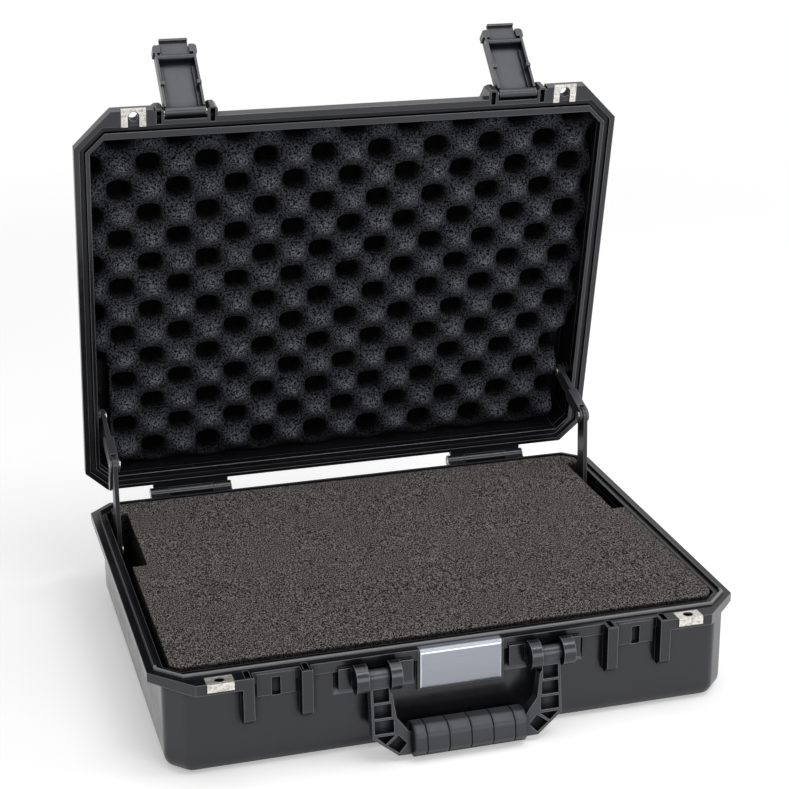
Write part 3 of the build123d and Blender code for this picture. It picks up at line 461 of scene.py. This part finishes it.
def cubed_foam():
    """A block scored into small cubes, with two notches for the stays."""
    low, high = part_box("base_cubed_foam")
    half, front, rear = high[0] + SWELL, low[1], high[1] + SWELL
    top, bottom = high[2] + PROUD, low[2]
    front_sum = corner_sum(RIM_FRONT, FRONT_CHAMFER, high[0]) + SWELL
    rear_sum = corner_sum(RIM_REAR, REAR_CHAMFER, high[0]) + SWELL
    columns = int((half - SLIT_MARGIN) / CUBE)
    rows = int((rear - SLIT_MARGIN - front - FIRST_CUBE) / CUBE) + 1
    slits_x = [i * CUBE for i in range(-columns, columns + 1)]
    slits_y = [front + FIRST_CUBE + i * CUBE for i in range(rows)]
    on_slit_x = {round(v, DECIMALS) for v in slits_x}
    on_slit_y = {round(v, DECIMALS) for v in slits_y}

    def edge_distance(x, y):
        """From a point on the top in to the outline."""
        corner = front_sum if y < 0 else rear_sum
        return min(half - abs(x), y - front, rear - y, (corner - abs(x) - abs(y)) / math.sqrt(2))

    def height(x, y):
        z = top - TOP_PLAY
        z += soft_noise(x, y, size=0.05, amount=0.0005, seed=3.1)
        z += soft_noise(x, y, size=0.011, amount=0.00035, seed=7.7)
        cube = Vector((math.floor(x / CUBE), math.floor((y - front - FIRST_CUBE) / CUBE), 0.5))
        z += CUBE_PLAY * noise.cell(cube)
        if round(x, DECIMALS) in on_slit_x or round(y, DECIMALS) in on_slit_y:
            z -= SLIT_DEPTH * max(0.0, SLIT_BIAS + soft_noise(x, y, SLIT_PATCH, amount=1, seed=9.2))
        rolled = max(0.0, 1 - edge_distance(x, y) / EDGE_ROLL)
        return z - EDGE_DROP * rolled * rolled

    def keep(x, y):
        return not (abs(x) > NOTCH_X and NOTCH_FRONT < y < NOTCH_REAR)

    def with_slits(slits, *edges):
        return [v + side for v in slits for side in (-SLIT, 0, SLIT)] + list(edges)

    xs = ticks(-half, half, BASE_STEP, with_slits(slits_x, -NOTCH_X, NOTCH_X, -half, half))
    ys = ticks(front, rear, BASE_STEP, with_slits(slits_y, NOTCH_FRONT, NOTCH_REAR, front, rear))
    bm = sheet_mesh(xs, ys, height, keep)
    cut_corners(bm, front_sum, rear_sum)
    close_sheet(bm, [lambda co: top - EDGE_ROLL, lambda co: (top + bottom) / 2, lambda co: bottom])
    shade_block(bm, top, front, rear, REAR_PAINTED_LIGHT)
    finish_foam(bm, "base_cubed_foam_block", "base", "base_cubed_foam", "foam_grey", smooth=False)


def pad_foam():
    """The plain pad under the cubed foam."""
    low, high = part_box("base_pad_foam")

    def height(x, y):
        return high[2] - PAD_PLAY + soft_noise(x, y, size=0.04, amount=PAD_PLAY, seed=1.2)

    bm = sheet_mesh(ticks(low[0], high[0], PAD_STEP), ticks(low[1], high[1], PAD_STEP), height)
    cut_corners(bm, corner_sum(RIM_FRONT, FRONT_CHAMFER, high[0]),
                corner_sum(RIM_REAR, REAR_CHAMFER, high[0]))
    close_sheet(bm, [lambda co: high[2] - PAD_EDGE, lambda co: low[2]])
    shade_block(bm, high[2], low[1], high[1])
    finish_foam(bm, "base_pad_foam_sheet", "base", "base_pad_foam", "foam_grey", smooth=False)


# --- lid foam, drawn with the lid shut and turned open -----------------------------------------
HINGE_Y, HINGE_Z, OPEN = 0.2032, 0.084, math.radians(78.5)
LID_HALF, LID_FRONT, LID_REAR = 0.2365, 0.163, 0.1755
LID_LOW, LID_TOP = 0.094, 0.1257
LID_NOTCH_X, LID_NOTCH_Y = 0.2226, 0.0688
LID_STEP, LID_EDGE = 0.002, 0.002              # the grid's step and the height of the upright edge
LID_PLAY = 0.0008                # keeps the uneven bumps above their lowest level
PITCH_X, PITCH_Y = 0.0266, 0.0244
PIT_X, PIT_Y = -0.2088, -0.1078                # the middle of one pit
PIT_EDGE, PIT_FLOOR = 0.12, 0.62               # levels of the wave at a pit's rim and floor
PIT_DEPTH, CROWN = 0.0165, 0.0088
NARROWING = 1.35                 # power that narrows bumps and pits along Y


def opened(point):
    """Where a point of the shut lid lies with the lid open."""
    dy, dz = point[1] - HINGE_Y, point[2] - HINGE_Z
    return Vector((point[0], HINGE_Y + dy * math.cos(OPEN) + dz * math.sin(OPEN),
                   HINGE_Z - dy * math.sin(OPEN) + dz * math.cos(OPEN)))


def egg_height(x, y):
    """Rounded bumps with a deep pit between each four of them."""
    along = math.cos(math.pi * (y - PIT_Y) / PITCH_Y)
    wave = math.cos(math.pi * (x - PIT_X) / PITCH_X) * math.copysign(abs(along) ** NARROWING, along)
    crown = LID_LOW + LID_PLAY + CROWN * (1 + min(wave, PIT_EDGE))
    sunk = held((wave - PIT_EDGE) / (PIT_FLOOR - PIT_EDGE))
    z = crown + PIT_DEPTH * sunk * sunk * (3 - 2 * sunk)
    z += soft_noise(x, y, size=0.03, amount=LID_PLAY, seed=5.5)
    return z + soft_noise(x, y, size=0.008, amount=0.0004, seed=9.3)


def pit_shade(z):
    """Painted shade: full tone on the bumps, nearly none at the floor of the pits."""
    start, reach, least, fall = 0.0015, 0.018, 0.02, 1.7
    depth = held((z - LID_LOW - start) / reach)
    return least + (1 - least) * (1 - depth) ** fall


def outline_shade(co):
    """Falls towards the outline, which lies in the shell's shadow."""
    least, side_reach, rear_reach, front_reach = 0.2, 0.010, 0.020, 0.016
    side = held((LID_HALF - abs(co.x)) / side_reach)
    rear = held((LID_REAR - co.y) / rear_reach)
    front = held((LID_FRONT + co.y) / front_reach)
    return least + (1 - least) * side * rear * front


def inside_lid(co):
    """Keeps the foam's far side clear of the lid's leaning front wall and corners."""
    lean_start, lean_height = 0.0905, 0.0395
    wall_y, wall_lean, clearance = -0.1745, 0.018, 0.0005
    corner, corner_lean = 0.3946, 0.0184
    deep = max(0.0, (co.z - lean_start) / lean_height)
    co.y = max(co.y, wall_y + wall_lean * deep + clearance)
    over = abs(co.x) - co.y - (corner - corner_lean * deep)
    if over > 0:
        co.x -= math.copysign(over / 2, co.x)
        co.y += over / 2
    return co


def convoluted_foam():
    """Egg crate foam, with two notches for the stays."""
    xs = ticks(-LID_HALF, LID_HALF, LID_STEP, (-LID_NOTCH_X, LID_NOTCH_X))
    ys = ticks(-LID_FRONT, LID_REAR, LID_STEP, (LID_NOTCH_Y,))
    bm = sheet_mesh(xs, ys, egg_height, lambda x, y: abs(x) < LID_NOTCH_X or y < LID_NOTCH_Y)
    cut_corners(bm, corner_sum(RIM_FRONT, FRONT_CHAMFER, LID_HALF),
                corner_sum(RIM_REAR, REAR_CHAMFER, LID_HALF))
    close_sheet(bm, [lambda co: min(co.z + LID_EDGE, LID_TOP), lambda co: LID_TOP])
    layer = bm.verts.layers.float.new("shade")
    for v in bm.verts:
        v[layer] = pit_shade(v.co.z) * outline_shade(v.co)
        v.co = opened(inside_lid(v.co))
    finish_foam(bm, "lid_convoluted_foam_sheet", "lid", "lid_convoluted_foam", "foam_black",
                smooth=True)


# --- nameplate -------------------------------------------------------------------------------
def nameplate():
    """A folded plate with a round bend and a raised face inside a bevelled border."""
    low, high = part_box("nameplate")
    bend, steps, border, rise, thickness = 0.0024, 8, 0.0013, 0.0004, 0.0005
    face_y = low[1] + rise
    profile = [(face_y, low[2])]
    for i in range(steps + 1):
        turn = math.pi / 2 * i / steps
        profile.append((face_y + bend * (1 - math.cos(turn)), high[2] - bend * (1 - math.sin(turn))))
    profile.append((high[1], high[2]))
    bm = bmesh.new()
    left, right = [[bm.verts.new((x, y, z)) for y, z in profile] for x in (low[0], high[0])]
    strips = [bm.faces.new((left[i], right[i], right[i + 1], left[i + 1]))
              for i in range(len(profile) - 1)]
    face = strips[0]
    bm.normal_update()
    inset = bmesh.ops.inset_region(bm, faces=[face], thickness=border, depth=0, use_even_offset=True,
                                   use_boundary=True)
    for edge_face in inset["faces"]:
        edge_face.material_index = 1
    for v in face.verts:
        v.co.y -= rise
    mesh = finished_mesh(bm, "nameplate_folded")
    mesh.materials.append(mats["nameplate_metal"])
    mesh.materials.append(mats["nameplate_edge"])
    obj = link_new("nameplate_folded", mesh)
    thick = obj.modifiers.new("thick", "SOLIDIFY")
    thick.thickness = thickness
    thick.offset = -1
    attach(obj, "base")
    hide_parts("nameplate")


# --- floor and world -------------------------------------------------------------------------
WHITE = (1, 1, 1, 1)
FLOOR_DROP = 0.0004              # keeps the floor clear of the case's underside
FLOOR_CORNERS = [(-30, -20, 0), (30, -20, 0), (30, 60, 0), (-30, 60, 0)]
FLOOR_GREY, FLOOR_GLOW = 0.86, 0.34
FADE_NEAR, FADE_FAR = 0.9, 2.2   # from here to there the floor goes over into pure white
WORLD_LIGHT = 0.42


def any_of(tree, path, *rays):
    """One where the ray is any of these kinds."""
    total = path.outputs[rays[0]]
    for ray in rays[1:]:
        total = maths(tree, "MAXIMUM", total, path.outputs[ray])
    return total


def mixed_shaders(tree, fac, first, second):
    node = add(tree, "ShaderNodeMixShader", Fac=fac)
    feed(tree, node.inputs[1], first)
    feed(tree, node.inputs[2], second)
    return node.outputs[0]


def floor():
    """Pale near the case, where it keeps the shadow, and white further off.  What it glows with
    is only seen and reflected, and doesn't light the case."""
    mesh = bpy.data.meshes.new("floor")
    mesh.from_pydata(FLOOR_CORNERS, [], [(0, 1, 2, 3)])
    obj = link_new("floor", mesh)
    obj.location.z = -FLOOR_DROP
    mat, tree, bsdf, out = new_material("floor")
    feed(tree, bsdf.inputs["Base Color"], (FLOOR_GREY, FLOOR_GREY, FLOOR_GREY, 1))
    feed(tree, bsdf.inputs["Roughness"], 0.9)
    feed(tree, bsdf.inputs["Specular IOR Level"], 0.0)
    glow = add(tree, "ShaderNodeEmission", Strength=FLOOR_GLOW)
    lit = add(tree, "ShaderNodeAddShader")
    feed(tree, lit.inputs[0], bsdf.outputs[0])
    feed(tree, lit.inputs[1], glow.outputs[0])
    white = add(tree, "ShaderNodeEmission", Strength=1.0)
    coord = add(tree, "ShaderNodeTexCoord")
    distance = vector_maths(tree, "LENGTH", coord.outputs["Object"])
    fade = add(tree, "ShaderNodeMapRange", Value=distance.outputs["Value"], From_Min=FADE_NEAR,
               From_Max=FADE_FAR)
    fade.interpolation_type = "SMOOTHSTEP"
    seen = mixed_shaders(tree, fade.outputs[0], lit.outputs[0], white.outputs[0])
    direct = any_of(tree, add(tree, "ShaderNodeLightPath"), "Is Camera Ray", "Is Glossy Ray")
    feed(tree, out.inputs["Surface"], mixed_shaders(tree, direct, bsdf.outputs[0], seen))
    mesh.materials.append(mat)


def white_world():
    """Soft light all round, and pure white where it is seen or reflected."""
    world = bpy.data.worlds.new("world")
    bpy.context.scene.world = world
    world.use_nodes = True
    tree = world.node_tree
    tree.nodes.clear()
    light = add(tree, "ShaderNodeBackground", Color=WHITE, Strength=WORLD_LIGHT)
    white = add(tree, "ShaderNodeBackground", Color=WHITE, Strength=1.0)
    path = add(tree, "ShaderNodeLightPath")
    direct = any_of(tree, path, "Is Camera Ray", "Is Transmission Ray", "Is Glossy Ray")
    seen = mixed_shaders(tree, direct, light.outputs[0], white.outputs[0])
    add(tree, "ShaderNodeOutputWorld", Surface=seen)


# --- lights and camera -------------------------------------------------------------------------
def softbox(name, place, target, size, watts):
    data = bpy.data.lights.new(name, "AREA")
    data.shape = "RECTANGLE"
    data.size, data.size_y = size
    data.energy = watts
    obj = link_new(name, data)
    obj.location = place
    direction = Vector(target) - Vector(place)
    obj.rotation_euler = direction.to_track_quat("-Z", "Y").to_euler()
    obj.visible_camera = False


# The photo's camera.  Its optical axis meets the picture at the centre given in pixels.
PICTURE = 789
FOCAL_PIXELS = 1895.6
CENTRE_X, CENTRE_Y = 424.2, 381.5
SENSOR = 36                      # millimetres
AZIMUTH, ELEVATION = math.radians(-16.86), math.radians(19.09)
CAMERA_PLACE = (-0.4265, -1.4890, 0.7830)


def photo_camera():
    data = bpy.data.cameras.new("camera")
    data.sensor_width = SENSOR
    data.lens = FOCAL_PIXELS / PICTURE * SENSOR
    data.shift_x = (PICTURE / 2 - CENTRE_X) / PICTURE
    data.shift_y = (CENTRE_Y - PICTURE / 2) / PICTURE
    data.clip_start = 0.01
    data.clip_end = 100
    flat = math.cos(ELEVATION)
    forward = Vector((-math.sin(AZIMUTH) * flat, math.cos(AZIMUTH) * flat, -math.sin(ELEVATION)))
    right = forward.cross(Vector((0, 0, 1))).normalized()
    up = right.cross(forward)
    turn = Matrix((right, up, -forward)).transposed().to_4x4()
    camera = link_new("camera", data)
    camera.matrix_world = Matrix.Translation(CAMERA_PLACE) @ turn
    bpy.context.scene.camera = camera


dress_nodes()
cubed_foam()
pad_foam()
convoluted_foam()
nameplate()
floor()
white_world()
softbox("front", place=(0.7, -2.9, 0.9), target=(0, 0, 0.25), size=(2.6, 1.4), watts=30)
softbox("top", place=(0.1, 0.1, 2.9), target=(0, 0.05, 0.3), size=(2.0, 1.5), watts=18)
softbox("right", place=(2.6, -0.6, 1.3), target=(0, 0, 0.2), size=(1.6, 1.4), watts=20)
softbox("edge", place=(0.85, -1.1, 2.8), target=(0, 0, 0.2), size=(1.8, 0.35), watts=16)
photo_camera()
bpy.context.scene.view_settings.view_transform = "Standard"
